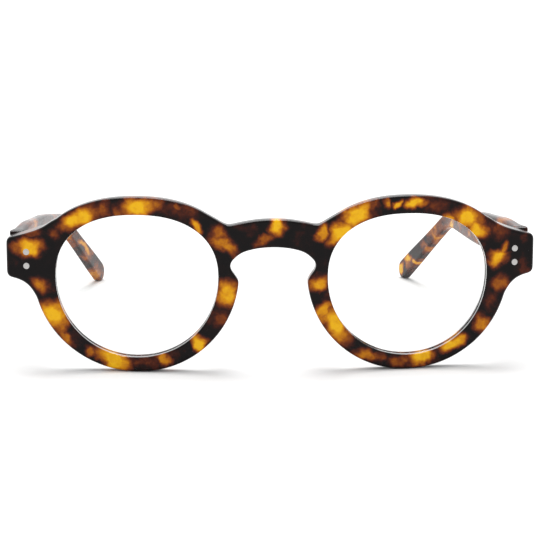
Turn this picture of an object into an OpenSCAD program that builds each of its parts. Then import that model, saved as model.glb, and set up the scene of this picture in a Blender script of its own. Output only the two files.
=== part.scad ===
// Folding reading glasses, in millimetres: an acetate front with two clear
// lenses and a keyhole bridge, and two acetate temples on riveted five-barrel
// hinges.
// The origin is on the surface that the glasses stand on, under the centre of
// their overall box. +Z is up, the front looks along -Y and the temples run
// back along +Y. The left side is on -X and the right side on +X.

/* [Front] */
// Overall width of the front, from end piece to end piece
front_w = 140; // [139.8:0.1:140.4]
// Thickness of the acetate sheet that the front is cut from
front_t = 4; // [3.8:0.1:4.2]
// Radius of the front's wrap, seen from above
wrap_r = 338; // [330:1:350]
// Distance from the bridge's front face to the flat back of the end pieces
end_back = 13.5; // [13.3:0.1:13.6]

/* [Lens openings] */
// Distance of each opening's centre from the middle plane
eye_x = 35.8; // [35.6:0.1:36]
// Half width of the opening on the temple side
eye_out = 21.2; // [20.9:0.1:21.4]
// Half width of the opening on the nose side
eye_in = 21.4; // [21.1:0.1:21.6]
// Height of the opening above its centre line
eye_up = 16.5; // [16.3:0.1:16.7]
// Depth of the opening below its centre line
eye_low = 21.2; // [21:0.1:21.4]
// Height of the opening's centre line above the table
eye_z = 25.2; // [25.1:0.1:25.4]

/* [Lenses] */
// Radius of the lens's front surface
lens_r1 = 110; // [100:5:120]
// Radius of the lens's back surface
lens_r2 = 217; // [210:1:230]
// Thickness at the lens's centre
lens_mid = 2.2; // [2:0.1:2.4]
// How far the lens's edge sits in the groove
lens_bevel = 0.8; // [0.6:0.1:0.9]

/* [Temples] */
// Length of a temple along its middle line
temple_len = 140; // [136:1:142]
// Thickness of a temple's straight part
temple_t = 3.6; // [3.4:0.1:3.8]
// Thickness of a temple's ear part
ear_t = 2.8; // [2.6:0.1:3.2]
// Height of a temple at its hinge
temple_h0 = 11.2; // [10.8:0.1:11.4]
// Height of a temple 40 mm behind the hinge
temple_h40 = 10.2; // [9.6:0.1:10.6]
// Height of a temple at the ear bend
temple_hb = 4.6; // [4.2:0.1:5.4]
// Height of a temple near its round tip
temple_ht = 6.2; // [5.8:0.1:6.8]
// Distance along the temple to the middle of the ear bend
bend_at = 92; // [90:1:94]
// Downward slope of the straight part, in degrees
slope_1 = 3.7; // [3.2:0.1:4]
// Downward slope of the ear part, in degrees
slope_2 = 31; // [30:0.1:32]
// Inward lean of the straight part, in degrees
lean_1 = 3.3; // [3:0.1:3.8]
// Further inward lean of the ear part, in degrees
lean_2 = 9.5; // [9:0.1:10]
// How far the temple's top edge dips to meet the end piece
top_dip = 1.45; // [1.2:0.05:1.6]

/* [Hinges] */
// Distance of each hinge pin from the middle plane
pin_x = 63.6; // [63.5:0.05:63.7]
// Distance of each hinge pin behind the end piece's flat back
pin_back = 1.9; // [1.85:0.05:2]
// Height of the hinge's middle above the table
pin_z = 29.75; // [29.5:0.05:30.25]
// Radius of the hinge's knuckles
knuckle_r = 1.6; // [1.5:0.05:1.6]
// Height of one knuckle of the front's three
knuckle_h = 1.2; // [1.1:0.05:1.2]
// Gap between neighbouring knuckles
knuckle_gap = 0.05; // [0.04:0.01:0.08]
// Radius of the hinge screw's shank
screw_r = 0.7; // [0.65:0.05:0.75]
// Radial clearance around the shank in the front's knuckles
screw_fit = 0.02; // [0.01:0.01:0.04]
// Radial clearance around the shank in the temple's knuckles
screw_run = 0.05; // [0.03:0.01:0.08]

/* [Rivets] */
// Distance of the front's rivets from the middle plane
rivet_x = 64.7; // [64.5:0.1:64.8]
// Distance between the two rivets of a pair
rivet_gap = 3.7; // [3.6:0.05:3.8]
// Radius of a rivet's shank
rivet_r = 0.6; // [0.5:0.05:0.6]
// Radius of a rivet's head
rivet_head = 0.85; // [0.8:0.05:0.9]

/* [Nose pads] */
// How far the pads stand back from the front
pad_back = 4.6; // [4.2:0.1:5]
// Thickness of a pad, from the nose outwards
pad_t = 2.7; // [2.5:0.1:3]

/* [Hidden] */
$fn = 96;
half_w = front_w / 2;
groove_gap = 0.1;          // between a lens's edge and the bottom of its groove
groove_side = 0.06;        // between a lens's faces and the sides of its groove
core_w = 1.0;              // thickness of the core wire
core_h = 1.8;              // height of the core wire
core_gap = 0.03;           // clearance around the core wire
end_gap = 0.15;            // between a temple's end and the end piece's back
leaf_t = 1.3;              // thickness of the temple's hinge leaf
leaf_gap = 0.1;            // between the knuckles and the leaf's face
leaf_len = 11;             // length of the temple's hinge leaf
plate_t = 1.0;             // thickness of the front's hinge plate
hinge_h = 5 * knuckle_h + 0.6;   // height of the leaf and the plate

function sgn(v) = v < 0 ? -1 : 1;
// One point of an oval made of superellipse quarters: c is its centre, a its
// half widths [+x, -x], b its heights [up, down], n its exponents [up, down].
function oval(c, a, b, n, t) =
    let (cs = cos(t), sn = sin(t),
         e = sn > 0 ? n[0] : n[1], w = cs > 0 ? a[0] : a[1], h = sn > 0 ? b[0] : b[1])
    [c[0] + w * sgn(cs) * pow(abs(cs), 2 / e), c[1] + h * sgn(sn) * pow(abs(sn), 2 / e)];
// A smooth curve through the points p, with m steps from each to the next.
function spline(p, m) =
    [for (i = [0 : len(p) - 2], k = [0 : m - 1])
        let (t = k / m, p0 = p[max(i - 1, 0)], p1 = p[i], p2 = p[i + 1],
             p3 = p[min(i + 2, len(p) - 1)])
        0.5 * (2 * p1 + (p2 - p0) * t + (2 * p0 - 5 * p1 + 4 * p2 - p3) * t * t
               + (3 * p1 - p0 - 3 * p2 + p3) * t * t * t)];
function arc(c, r, a0, a1, m) =
    [for (k = [0 : m]) c + r * [cos(a0 + (a1 - a0) * k / m), sin(a0 + (a1 - a0) * k / m)]];
function mirrored(p) = [for (i = [len(p) - 1 : -1 : 0]) [-p[i][0], p[i][1]]];

// ---- outlines, seen from the front: x sideways, y upwards ----
rim_c = [35.54, 26.66];
rim_a = [27.6, 26.65];
rim_b = [19.8, 26.66];
rim_n = [2.22, 2.02];
function rim(t, d = 0) = oval(rim_c, rim_a - [d, d], rim_b - [d, d], rim_n, t);
function eye(d, m = 72) =
    [for (k = [0 : m - 1])
        oval([eye_x, eye_z], [eye_out + d, eye_in + d], [eye_up + d, eye_low + d],
             [2.31, 2.05], 360 * k / m + 2.5)];
bridge_top = [[0, 40.6], [4, 40.4], [8, 39.75], [10.9, 39.15], [12.4, 39.25], [14.6, 40.5]];
end_top = [rim(42), [58.3, 39.55], [60.1, 38.35], [62.4, 37.3], [65.2, 36.4]];
end_low = [[67.2, 24.35], [65.3, 23.45], [63.7, 22], rim(-15)];
keyhole = [[9.15, 24.7], [10, 26], [10.95, 27.3], [11.2, 28.4], [10.9, 29.4], [9.8, 30.6],
           [8, 31.85], [5.2, 32.7], [2.4, 33.1], [0, 33.2]];
half_outline = concat(
    spline(bridge_top, 4), [for (t = [130 : -4 : 46]) rim(t)],
    spline(end_top, 4),
    [[68.2, 35.6]], arc([half_w - 1.5, 34.15], 1.5, 62, 0, 5),
    arc([half_w - 1.4, 26.1], 1.4, 0, -78, 5),
    spline(end_low, 4), [for (t = [-15 : -4 : -175]) rim(t)],
    spline(keyhole, 3), [[0, 33.2]]);
module front_outline() {
    polygon(concat(half_outline, mirrored([for (i = [1 : len(half_outline) - 2]) half_outline[i]])));
}

// ---- the temple's middle line and its height ----
function smooth(v) = let (u = min(max(v, 0), 1)) u * u * (3 - 2 * u);
function slope(s) = slope_1 + (slope_2 - slope_1) * smooth((s - bend_at + 9) / 18);
function lean(s) = lean_2 * smooth((s - bend_at + 12) / 24);
tip_s = temple_len - temple_ht / 2;
// Half height at s: a smooth curve through the four stated heights.
function half_h(s) = s < 40 ? (temple_h0 + (temple_h40 - temple_h0) * smooth(s / 40)) / 2
    : s < bend_at + 8 ? (temple_h40 + (temple_hb - temple_h40) * smooth((s - 40) / (bend_at - 32))) / 2
    : (temple_hb + (temple_ht - temple_hb) * smooth((s - bend_at - 8) / (tip_s - bend_at - 8))) / 2;
step = tip_s / 60;
// Points [y, z, slope, half height, x offset, s] of the middle line.
mid_line = [for (i = 0, y = end_back - 2, z = 0, x = 0; i <= 60;
                 y = y + step * cos(slope((i + 0.5) * step)),
                 z = z - step * sin(slope((i + 0.5) * step)),
                 x = x - step * sin(lean((i + 0.5) * step)), i = i + 1)
            [y, z, slope(i * step), half_h(i * step), x, i * step]];
side_top = [for (p = mid_line) let (h = p[3] - top_dip * (1 - smooth(p[5] / 22)))
    [p[0] + h * sin(p[2]), p[1] + h * cos(p[2])]];
side_low = [for (p = mid_line) [p[0] - p[3] * sin(p[2]), p[1] - p[3] * cos(p[2])]];
tip = mid_line[60];
tip_cap = [for (k = [1 : 15])
    [tip[0], tip[1]] + tip[3] * [sin(tip[2] + 180 * k / 16), cos(tip[2] + 180 * k / 16)]];
side_outline = concat(side_top, tip_cap, [for (i = [60 : -1 : 0]) side_low[i]]);
// The lowest point of the temple touches the table.
z_start = -min([for (p = side_outline) p[1]]);
hinge_in = knuckle_r + leaf_gap;          // from the pin to the leaf's face
inner_x = hinge_in + 0.6;                 // from the pin to the temple's inner face
mid_x = inner_x + temple_t / 2;           // from the pin to the temple's middle
// The plan of a strip along the middle line, w0 each way at the hinge and w1 at the ear.
function plan_strip(w0, w1) = let (w = [for (p = mid_line) w0 + (w1 - w0) * smooth((p[5] - 58) / 36)]) concat(
    [for (i = [0 : 3 : 60]) [mid_x + mid_line[i][4] + w[i], mid_line[i][0]]],
    [[mid_x + mid_line[60][4] + w1 - tan(lean_2) * 8, mid_line[60][0] + 8],
     [mid_x + mid_line[60][4] - w1 - tan(lean_2) * 8, mid_line[60][0] + 8]],
    [for (i = [60 : -3 : 0]) [mid_x + mid_line[i][4] - w[i], mid_line[i][0]]]);
pin_y = end_back + pin_back;
// Overall depth: the furthest point of the leaning temple's tip.
deep = max([for (p = side_outline) p[0]]) - pin_y;
y_back = pin_y + deep * cos(lean_1) + (mid_x + mid_line[60][4] + ear_t / 2) * sin(lean_1);
y0 = -y_back / 2;                          // the bridge's front face

// ---- helpers ----
module side(s) { mirror([s < 0 ? 1 : 0, 0, 0]) children(); }
// A front-view outline as a prism from y = a to y = b behind the bridge face.
module prism(a, b) { translate([0, b, 0]) rotate([90, 0, 0]) linear_extrude(height = b - a) children(); }
// Everything behind the front's curved face, d further out.
module wrap(d = 0) { translate([0, wrap_r, -5]) cylinder(r = wrap_r + d, h = 60, $fn = 720); }
module place() { translate([0, y0, 0]) children(); }
// The leaning frame of a temple: its origin is the hinge pin, at table height.
module on_pin() { translate([pin_x, pin_y, 0]) rotate([0, 0, lean_1]) children(); }
// The temple's side outline as a solid from x = a to x = b, in the pin's frame.
module side_solid(a, b, pts) {
    translate([a, -pin_y, z_start]) rotate([90, 0, 90]) linear_extrude(height = b - a) polygon(pts);
}
module leaf_box(d) {
    translate([hinge_in - d, -1.2 - d, pin_z - hinge_h / 2 - d])
        cube([leaf_t + 2 * d, leaf_len + 2 * d, hinge_h + 2 * d]);
}
temple_rivet_y = 6.6;
temple_rivet_z = pin_z + 0.5;
// The core passes between the rivets, then rises to the temple's middle line.
function core_drop(s) = (z_start + mid_line[5][1] - temple_rivet_z) * (1 - smooth((s - 13) / 24));
// Angle and radius of the lens's axis on the wrap.
lens_a = asin(eye_x / wrap_r);
lens_sink = 0.17;
module ball(r, vertex) {
    translate([(wrap_r + vertex - r) * sin(lens_a), wrap_r - (wrap_r + vertex - r) * cos(lens_a), eye_z - 2.35])
        sphere(r = r, $fn = 400);
}
// The lens-shaped shell, grown by d on each face.
module lens_shell(d) {
    difference() {
        ball(lens_r1, lens_sink + d);
        ball(lens_r2, lens_sink - lens_mid - d);
    }
}

// ---- the front and what is fixed to it ----
module frame_front() {
    color("saddlebrown") place() difference() {
        union() {
            intersection() {
                prism(-1, 20) front_outline();
                difference() { wrap(); translate([0, wrap_r, -6]) cylinder(r = wrap_r - front_t, h = 62, $fn = 720); }
            }
            for (s = [-1, 1]) side(s) intersection() {
                prism(-1, 20) front_outline();
                wrap();
                translate([0, 0, 24]) linear_extrude(height = 16)
                    polygon([[59.6, 7], [59.6, 9.6], [61.6, end_back], [80, end_back], [80, 0]]);
            }
        }
        for (s = [-1, 1]) side(s) {
            prism(-2, 20) polygon(eye(0));
            intersection() { prism(-2, 20) polygon(eye(lens_bevel + groove_gap)); lens_shell(groove_side); }
            translate([61.5, end_back - plate_t, pin_z - hinge_h / 2]) cube([5, 5, hinge_h]);
            for (z = [-1, 1]) translate([rivet_x, -1, pin_z + z * rivet_gap / 2]) rotate([-90, 0, 0]) cylinder(r = rivet_r, h = 20);
            for (z = [-1, 1]) rivet_head_solid(z, 0);
        }
    }
}
// The head end of a front rivet: a short drum that ends at the curved face.
module rivet_head_solid(z, d) {
    translate([rivet_x, -1, pin_z + z * rivet_gap / 2]) rotate([-90, 0, 0]) cylinder(r = rivet_head, h = 7.9 + d);
}
module nose_pad(s) {
    color("goldenrod") place() side(s) intersection() {
        prism(0, 20) polygon(concat([for (t = [186 : 2 : 222]) rim(t, 0.2)],
                                    [for (t = [222 : -2 : 186]) rim(t, 0.2 + pad_t)]));
        translate([0, wrap_r, -6]) cylinder(r = wrap_r - front_t, h = 62, $fn = 720);
        translate([0, front_t + pad_back - 9.1, 16.6]) rotate([0, 90, 0]) cylinder(r = 9.1, h = 20);
    }
}
module lens(s) {
    color("aliceblue", 0.35) place() side(s) intersection() {
        prism(-2, 20) polygon(eye(lens_bevel));
        lens_shell(0);
    }
}
module knuckle_bore(r) { translate([0, 0, -1]) cylinder(r = r, h = 60); }
module front_hinge(s) {
    color("silver") place() side(s) difference() {
        union() {
            translate([61.5, end_back - plate_t, pin_z - hinge_h / 2]) cube([5, plate_t, hinge_h]);
            for (i = [-2, 0, 2]) translate([pin_x, 0, pin_z + i * knuckle_h - knuckle_h / 2]) {
                translate([0, pin_y, 0]) cylinder(r = knuckle_r, h = knuckle_h);
                translate([-knuckle_r, end_back - plate_t / 2, 0]) cube([knuckle_r + 0.9, pin_back + plate_t / 2, knuckle_h]);
            }
        }
        translate([pin_x, pin_y, 0]) knuckle_bore(screw_r + screw_fit);
        for (z = [-1, 1]) translate([rivet_x, 5, pin_z + z * rivet_gap / 2]) rotate([-90, 0, 0]) cylinder(r = rivet_r, h = end_back - 5);
    }
}
module front_rivets(s) {
    color("lightgray") place() side(s) intersection() {
        for (z = [-1, 1]) {
            translate([rivet_x, -1, pin_z + z * rivet_gap / 2]) rotate([-90, 0, 0]) cylinder(r = rivet_r, h = end_back + 1);
            rivet_head_solid(z, 0);
        }
        wrap(0.04);
    }
}
module hinge_screw(s) {
    color("silver") place() side(s) translate([pin_x, pin_y, 0]) difference() {
        union() {
            translate([0, 0, pin_z - 2.5 * knuckle_h - 0.2]) cylinder(r = screw_r, h = 5 * knuckle_h + 0.6);
            translate([0, 0, pin_z + 2.5 * knuckle_h]) cylinder(r = 1.25, h = 0.55);
        }
        translate([-2, -0.15, pin_z + 2.5 * knuckle_h + 0.3]) cube([4, 0.3, 1]);
    }
}

// ---- a temple and what is fixed to it ----
module temple(s) {
    color("sienna") place() side(s) difference() {
        intersection() {
            on_pin() side_solid(-20, 20, side_outline);
            on_pin() translate([0, -pin_y, -1]) linear_extrude(height = 50) polygon(plan_strip(temple_t / 2, ear_t / 2));
            translate([0, end_back + end_gap, -1]) cube([90, 200, 50]);
        }
        on_pin() core_solid(core_gap);
        on_pin() leaf_box(0);
        on_pin() for (z = [-1, 1]) temple_rivet(z);
    }
}
module core_solid(d) {
    intersection() {
        side_solid(-20, 20, concat(
            [for (i = [0 : 52]) [mid_line[i][0], mid_line[i][1] - core_drop(mid_line[i][5])] + (core_h / 2 + d) * [sin(mid_line[i][2]), cos(mid_line[i][2])]],
            [for (i = [52 : -1 : 0]) [mid_line[i][0], mid_line[i][1] - core_drop(mid_line[i][5])] - (core_h / 2 + d) * [sin(mid_line[i][2]), cos(mid_line[i][2])]]));
        translate([0, -pin_y, -1]) linear_extrude(height = 50) polygon(plan_strip(core_w / 2 + d, core_w / 2 + d));
    }
}
module temple_core(s) {
    color("gray") place() side(s) intersection() {
        on_pin() core_solid(0);
        on_pin() translate([-20, 0.6, -1]) cube([60, 200, 60]);
    }
}
module temple_rivet(z) {
    translate([hinge_in, temple_rivet_y, temple_rivet_z + z * rivet_gap / 2]) rotate([0, 90, 0]) {
        cylinder(r = rivet_r, h = 0.6 + temple_t);
        translate([0, 0, temple_t - 0.1]) cylinder(r = rivet_head, h = 0.74);
    }
}
module temple_rivets(s) {
    color("lightgray") place() side(s) on_pin() for (z = [-1, 1]) temple_rivet(z);
}
module temple_hinge(s) {
    color("silver") place() side(s) on_pin() difference() {
        union() {
            leaf_box(0);
            for (i = [-1, 1]) translate([0, 0, pin_z + i * knuckle_h - knuckle_h / 2 + knuckle_gap]) {
                cylinder(r = knuckle_r, h = knuckle_h - 2 * knuckle_gap);
                translate([0, -0.9, 0]) cube([hinge_in + 0.5, 0.9 + knuckle_r, knuckle_h - 2 * knuckle_gap]);
            }
        }
        knuckle_bore(screw_r + screw_run);
        for (z = [-1, 1]) temple_rivet(z);
    }
}

frame_front();
nose_pad(-1);  // nose_pad_left
nose_pad(1);  // nose_pad_right
lens(-1);  // lens_left
lens(1);  // lens_right
front_hinge(-1);  // front_hinge_left
front_hinge(1);  // front_hinge_right
front_rivets(-1);  // front_rivets_left
front_rivets(1);  // front_rivets_right
hinge_screw(-1);  // hinge_screw_left
hinge_screw(1);  // hinge_screw_right
temple(-1);  // temple_left
temple(1);  // temple_right
temple_core(-1);  // temple_core_left
temple_core(1);  // temple_core_right
temple_hinge(-1);  // temple_hinge_left
temple_hinge(1);  // temple_hinge_right
temple_rivets(-1);  // temple_rivets_left
temple_rivets(1);  // temple_rivets_right
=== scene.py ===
# Folding reading glasses: the looks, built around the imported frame.
# Lengths in this script are millimetres until make() turns them into metres.
# The design frame's y is measured back from the bridge's front face; Y0 takes
# it to the row frame.
import bpy
import math
import numpy as np
from mathutils import Matrix, Vector
from mathutils.geometry import delaunay_2d_cdt


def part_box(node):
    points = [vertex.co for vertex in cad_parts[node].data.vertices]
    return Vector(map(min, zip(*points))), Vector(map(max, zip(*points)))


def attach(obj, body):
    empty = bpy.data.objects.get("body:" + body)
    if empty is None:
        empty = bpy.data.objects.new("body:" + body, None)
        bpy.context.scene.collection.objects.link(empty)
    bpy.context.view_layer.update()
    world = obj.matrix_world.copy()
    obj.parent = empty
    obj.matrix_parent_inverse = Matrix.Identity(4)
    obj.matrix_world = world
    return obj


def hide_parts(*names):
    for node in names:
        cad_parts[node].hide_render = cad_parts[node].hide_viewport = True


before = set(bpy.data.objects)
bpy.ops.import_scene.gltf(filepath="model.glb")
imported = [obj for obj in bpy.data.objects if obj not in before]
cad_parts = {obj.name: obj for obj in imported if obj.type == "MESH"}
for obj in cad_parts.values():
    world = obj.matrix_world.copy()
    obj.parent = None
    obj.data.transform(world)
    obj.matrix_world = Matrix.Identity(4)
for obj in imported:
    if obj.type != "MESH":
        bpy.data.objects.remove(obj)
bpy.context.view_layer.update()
R = math.radians

# ------------------------------------------------------------------ dimensions
WRAP = 338.0
THICK = 4.0
END_BACK = 13.5
EYE = dict(c=(35.8, 25.2), a=(21.2, 21.4), b=(16.5, 21.2), n=(2.31, 2.05))
RIM = dict(c=(35.54, 26.66), a=(27.6, 26.65), b=(19.8, 26.66), n=(2.22, 2.02))
LENS_R1, LENS_R2, LENS_MID, LENS_SINK = 110.0, 217.0, 2.2, 0.17
PIN = (63.6, 15.4, 29.75)
LEAN = 3.3
TOP_DIP = 1.45
HINGE_IN, INNER_X, MID_X = 1.7, 2.3, 4.1
TEMPLE_T, EAR_T = 3.6, 2.8
BEND, SLOPE1, SLOPE2, LEAN2 = 92.0, 3.7, 31.0, 9.5
H0, H40, HB, HT = 11.2, 10.2, 4.6, 6.2
TIP_S = 140 - HT / 2
RIVET_X, RIVET_GAP = 64.7, 3.7


def sgn(v):
    return -1.0 if v < 0 else 1.0


def oval(o, t, d=0.0):
    cs, sn = math.cos(R(t)), math.sin(R(t))
    e = o["n"][0] if sn > 0 else o["n"][1]
    w = (o["a"][0] if cs > 0 else o["a"][1]) + d
    h = (o["b"][0] if sn > 0 else o["b"][1]) + d
    return (o["c"][0] + w * sgn(cs) * abs(cs) ** (2 / e), o["c"][1] + h * sgn(sn) * abs(sn) ** (2 / e))


def spline(p, m):
    out = []
    p = [np.array(q, float) for q in p]
    for i in range(len(p) - 1):
        p0, p1, p2, p3 = p[max(i - 1, 0)], p[i], p[i + 1], p[min(i + 2, len(p) - 1)]
        for k in range(m):
            t = k / m
            out.append(tuple(0.5 * (2 * p1 + (p2 - p0) * t + (2 * p0 - 5 * p1 + 4 * p2 - p3) * t * t
                                    + (3 * p1 - p0 - 3 * p2 + p3) * t ** 3)))
    return out


def arc(c, r, a0, a1, m):
    return [(c[0] + r * math.cos(R(a0 + (a1 - a0) * k / m)), c[1] + r * math.sin(R(a0 + (a1 - a0) * k / m)))
            for k in range(m + 1)]


def resample(points, step):
    """A closed outline with even spacing."""
    p = np.array(points, float)
    keep = np.linalg.norm(p - np.roll(p, 1, 0), axis=1) > 1e-4
    p = p[keep]
    q = np.vstack([p, p[:1]])
    s = np.r_[0, np.cumsum(np.linalg.norm(np.diff(q, axis=0), axis=1))]
    n = int(round(s[-1] / step))
    u = np.arange(n) * s[-1] / n
    return np.c_[np.interp(u, s, q[:, 0]), np.interp(u, s, q[:, 1])]


def area(p):
    x, y = p[:, 0], p[:, 1]
    return 0.5 * float(np.sum(x * np.roll(y, -1) - np.roll(x, -1) * y))


def normals2(p):
    """Unit normals to the right of travel, away from the material."""
    t = np.roll(p, -1, 0) - np.roll(p, 1, 0)
    n = np.c_[t[:, 1], -t[:, 0]]
    n /= np.linalg.norm(n, axis=1)[:, None]
    for _ in range(2):
        n = n + 0.5 * (np.roll(n, 1, 0) + np.roll(n, -1, 0))
        n /= np.linalg.norm(n, axis=1)[:, None]
    return n


def smooth(v):
    u = np.clip(v, 0, 1)
    return u * u * (3 - 2 * u)


def inside(pts, loops):
    x, y = pts[:, 0], pts[:, 1]
    odd = np.zeros(len(pts), bool)
    for p in loops:
        q = np.roll(p, -1, 0)
        for (x0, y0), (x1, y1) in zip(p, q):
            hit = (y0 > y) != (y1 > y)
            if hit.any():
                xx = x0 + (y - y0) * (x1 - x0) / ((y1 - y0) or 1e-12)
                odd ^= hit & (x < xx)
    return odd


def away(pts, loops, d):
    allp = np.vstack(loops)
    ok = np.ones(len(pts), bool)
    for i in range(0, len(pts), 500):
        dd = ((pts[i:i + 500, None, :] - allp[None]) ** 2).sum(2).min(1)
        ok[i:i + 500] = dd > d * d
    return ok


# ------------------------------------------------------------------ mesh shell
class Shell:
    """Collects points, faces and a normal for each face corner."""

    def __init__(self):
        self.v, self.f, self.n = [], [], []

    def ring(self, pts):
        i = len(self.v)
        self.v += [tuple(map(float, p)) for p in pts]
        return list(range(i, i + len(pts)))

    def strip(self, r0, r1, n0, n1, closed=True):
        m = len(r0)
        for k in range(m if closed else m - 1):
            j = (k + 1) % m
            self.f.append((r0[k], r0[j], r1[j], r1[k]))
            self.n.append((n0[k], n0[j], n1[j], n1[k]))

    def face(self, idx, nrm):
        self.f.append(tuple(idx))
        self.n.append(tuple(nrm))

    def fan(self, ring, centre, nrm, flip=False):
        i = len(self.v)
        self.v.append(tuple(map(float, centre)))
        m = len(ring)
        for k in range(m):
            j = (k + 1) % m
            t = (ring[j], ring[k], i) if flip else (ring[k], ring[j], i)
            self.face(t, (nrm, nrm, nrm))

    def merge(self, other, move=None):
        i = len(self.v)
        self.v += other.v
        self.f += [tuple(a + i for a in f) for f in other.f]
        self.n += other.n

    def mapped(self, fn):
        """A copy with each point sent through fn (an array function), normals carried along."""
        v = np.array(self.v, float)
        w = fn(v)
        e = 1e-3
        cols = [(fn(v + e * np.eye(3)[k]) - w) / e for k in range(3)]
        J = np.stack(cols, 2)
        det = np.linalg.det(J)
        Jit = np.transpose(np.linalg.inv(J), (0, 2, 1))
        out = Shell()
        out.v = [tuple(p) for p in w]
        flip = np.median(det) < 0
        for f, n in zip(self.f, self.n):
            nn = [Jit[a] @ np.array(b, float) for a, b in zip(f, n)]
            if flip:
                f, nn = f[::-1], nn[::-1]
            out.f.append(tuple(f))
            out.n.append(tuple(tuple(a / (np.linalg.norm(a) or 1)) for a in nn))
        return out

    def make(self, name, mat, side=1, custom=True):
        """The finished object, in metres in the row frame; side -1 is the mirror image."""
        v = np.array(self.v, float)
        v[:, 0] *= side
        v[:, 1] += Y0
        v *= 0.001
        f = self.f if side > 0 else [g[::-1] for g in self.f]
        me = bpy.data.meshes.new(name)
        me.from_pydata([tuple(p) for p in v], [], f)
        me.polygons.foreach_set("use_smooth", [True] * len(me.polygons))
        me.update()
        if custom:
            ln = []
            for n in self.n:
                nn = n if side > 0 else n[::-1]
                ln += [(a[0] * side, a[1], a[2]) for a in nn]
            me.normals_split_custom_set(ln)
        else:
            me.set_sharp_from_angle(angle=R(38))
        ob = bpy.data.objects.new(name, me)
        bpy.context.scene.collection.objects.link(ob)
        me.materials.append(mat)
        return ob


def plate(loops, F, B, rf, rb, step, walls=4, fillet=5, groove=None):
    """A plate with rounded edges between c = F(a, b) and c = B(a, b). loops[0] runs
    anticlockwise and the rest clockwise. rf and rb are the edge radii, one number
    or one for each point of a loop. groove(loop, points) gives the two depths
    of a V groove in that loop's wall and how far it goes in, or None."""
    s = Shell()

    def grad(G, p):
        e = 0.02
        ga = (G(p[:, 0] + e, p[:, 1]) - G(p[:, 0] - e, p[:, 1])) / (2 * e)
        gb = (G(p[:, 0], p[:, 1] + e) - G(p[:, 0], p[:, 1] - e)) / (2 * e)
        n = np.c_[-ga, -gb, np.ones(len(p))]
        return n / np.linalg.norm(n, axis=1)[:, None]

    front_rings, back_rings = [], []
    for li, p in enumerate(loops):
        n2 = normals2(p)
        n3 = np.c_[n2, np.zeros(len(p))]
        r0 = np.broadcast_to(rf[li] if isinstance(rf, list) else rf, (len(p),)).astype(float)
        r1 = np.broadcast_to(rb[li] if isinstance(rb, list) else rb, (len(p),)).astype(float)
        rows = []                                   # (points, normal before, normal after)
        for k in range(fillet + 1):
            th = math.pi / 2 * (1 - k / fillet)
            q = p - n2 * (r0 * (1 - math.cos(th)))[:, None]
            c = F(q[:, 0], q[:, 1]) + r0 * (1 - math.sin(th))
            nn = math.cos(th) * n3 - math.sin(th) * grad(F, q)
            nn /= np.linalg.norm(nn, axis=1)[:, None]
            rows.append((np.c_[q, c], nn, nn))
        c0 = F(p[:, 0], p[:, 1]) + r0
        c1 = B(p[:, 0], p[:, 1]) - r1
        g = groove(li, p) if groove else None
        if g is None:
            for k in range(1, walls):
                rows.append((np.c_[p, c0 + (c1 - c0) * k / walls], n3, n3))
        else:
            g0, g1, depth = g
            rows.append((np.c_[p, (c0 + g0) / 2], n3, n3))
            up = np.c_[n2 * 0.35, np.full(len(p), 0.94)]
            dn = np.c_[n2 * 0.35, np.full(len(p), -0.94)]
            rows.append((np.c_[p, g0], n3, up))
            q = p - n2 * depth
            rows.append((np.c_[q, g0 * 0.6 + g1 * 0.4], up, n3))
            rows.append((np.c_[q, g0 * 0.4 + g1 * 0.6], n3, dn))
            rows.append((np.c_[p, g1], dn, n3))
            rows.append((np.c_[p, (c1 + g1) / 2], n3, n3))
        for k in range(fillet + 1):
            th = math.pi / 2 * k / fillet
            q = p - n2 * (r1 * (1 - math.cos(th)))[:, None]
            c = B(q[:, 0], q[:, 1]) - r1 * (1 - math.sin(th))
            nn = math.cos(th) * n3 + math.sin(th) * grad(B, q)
            nn /= np.linalg.norm(nn, axis=1)[:, None]
            rows.append((np.c_[q, c], nn, nn))
        rings = [s.ring(r[0]) for r in rows]
        for k in range(len(rows) - 1):
            s.strip(rings[k], rings[k + 1], rows[k][2], rows[k + 1][1])
        front_rings.append(rings[0])
        back_rings.append(rings[-1])
    for rings, G, sign in ((front_rings, F, -1), (back_rings, B, 1)):
        cl = [np.array([s.v[i][:2] for i in r]) for r in rings]
        lo, hi = cl[0].min(0), cl[0].max(0)
        ga = np.arange(lo[0], hi[0], step)
        gb = np.arange(lo[1], hi[1], step * 0.87)
        grid = np.array([(a + (step / 2 if j % 2 else 0), b) for j, b in enumerate(gb) for a in ga])
        grid = grid[inside(grid, cl)]
        grid = grid[away(grid, cl, step * 0.55)]
        allp = np.vstack(cl + [grid])
        edges, o = [], 0
        for c in cl:
            edges += [(o + k, o + (k + 1) % len(c)) for k in range(len(c))]
            o += len(c)
        ov, oe, of, orig, _, _ = delaunay_2d_cdt([Vector(q) for q in allp], edges, [], 0, 1e-7)
        ids = [i for r in rings for i in r]
        gz = G(grid[:, 0], grid[:, 1])
        ids += s.ring(np.c_[grid, gz])
        index = [ids[o[0]] if o else None for o in orig]
        nrm = grad(G, np.array([tuple(q) for q in ov])) * sign
        cen = np.array([np.mean([tuple(ov[i]) for i in t], 0) for t in of])
        ok = inside(cen, cl)
        for t, good in zip(of, ok):
            if not good or any(index[i] is None for i in t):
                continue
            a, b, c = [np.array(tuple(ov[i])) for i in t]
            ccw = (b[0] - a[0]) * (c[1] - a[1]) - (b[1] - a[1]) * (c[0] - a[0]) > 0
            t = list(t) if ccw == (sign > 0) else list(t)[::-1]
            s.face([index[i] for i in t], [nrm[i] for i in t])
    return s


def from_bmesh(bm):
    s = Shell()
    bm.normal_update()
    s.v = [tuple(v.co) for v in bm.verts]
    bm.verts.index_update()
    for f in bm.faces:
        s.f.append(tuple(v.index for v in f.verts))
        s.n.append(tuple(tuple(f.normal) for _ in f.verts))
    return s


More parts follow.
